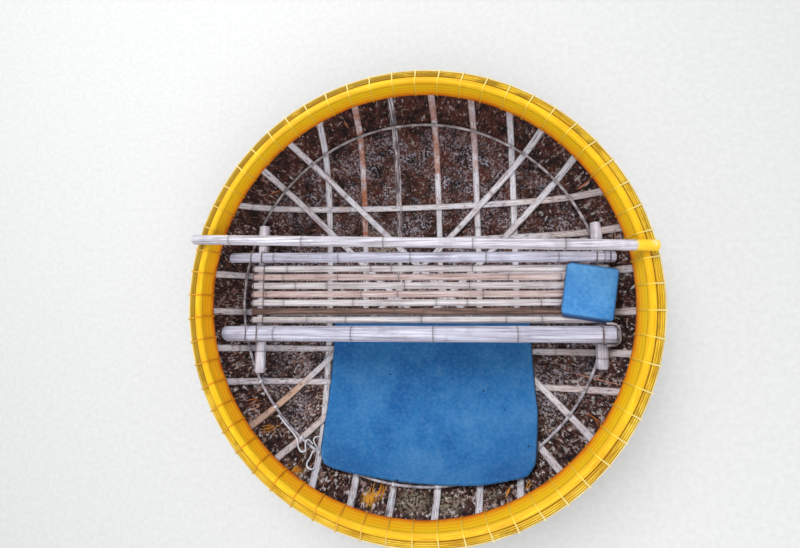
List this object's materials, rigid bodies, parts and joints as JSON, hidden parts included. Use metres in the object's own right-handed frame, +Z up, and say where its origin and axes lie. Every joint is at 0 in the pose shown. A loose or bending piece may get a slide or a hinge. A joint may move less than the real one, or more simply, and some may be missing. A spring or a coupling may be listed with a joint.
{
  "type": "round bamboo basket boat",
  "caption": "Round basket boat: woven bamboo bowl with a lattice of laths, laminated corded rim, slatted bench, foam seat pad and floor mat.",
  "frame": {"origin": "middle of the bowl at the loaded waterline", "axes": "+X to the right side of the bench, +Y to the back behind the bench, +Z up out of the water"},
  "size_m": [1.9326, 1.9328, 0.6586],
  "materials": {
    "hull": "matt dark pitch over woven bamboo",
    "rim_paint": "glossy yellow paint over bamboo strips",
    "rim_cord": "painted cord",
    "lath_bamboo": "weathered grey bamboo",
    "cane": "weathered grey cane",
    "white_cord": "twisted nylon cord",
    "dark_cord": "dark twisted cord",
    "pole_bamboo": "weathered pale bamboo",
    "slat_bamboo": "weathered grey bamboo",
    "seat_foam": "soft closed-cell foam",
    "mat_foam": "scuffed closed-cell foam"
  },
  "bodies": {
    "root": {"bearer_left": "pole_bamboo", "bearer_right": "pole_bamboo", "carry_pole": "pole_bamboo", "chine_hoop": "cane", "end_strap": "cane", "floor_mat": "mat_foam", "hoop_lashings": "white_cord", "hull_shell": "hull", "lath_across_1": "lath_bamboo", "lath_across_2": "lath_bamboo", "lath_across_3": "lath_bamboo", "lath_across_4": "lath_bamboo", "lath_across_5": "lath_bamboo", "lath_across_6": "lath_bamboo", "lath_along_1": "lath_bamboo", "lath_along_2": "lath_bamboo", "lath_along_3": "lath_bamboo", "lath_along_4": "lath_bamboo", "lath_along_5": "lath_bamboo", "lath_along_6": "lath_bamboo", "lath_falling_1": "lath_bamboo", "lath_falling_2": "lath_bamboo", "lath_rising_1": "lath_bamboo", "lath_rising_2": "lath_bamboo", "pole_lashings": "dark_cord", "rim_bindings": "rim_cord", "rim_cap": "rim_paint", "rim_inner_strips": "rim_paint", "rim_outer_strips": "rim_paint", "seat_pad": "seat_foam", "seat_pole_front": "pole_bamboo", "seat_pole_rear": "pole_bamboo", "slat_1": "slat_bamboo", "slat_2": "slat_bamboo", "slat_3": "slat_bamboo", "slat_4": "slat_bamboo", "slat_5": "slat_bamboo", "slat_6": "slat_bamboo", "slat_7": "slat_bamboo", "slat_lashings": "dark_cord", "tie_cord_1": "white_cord", "tie_cord_2": "white_cord", "tie_cord_3": "white_cord"}
  },
  "joints": []
}
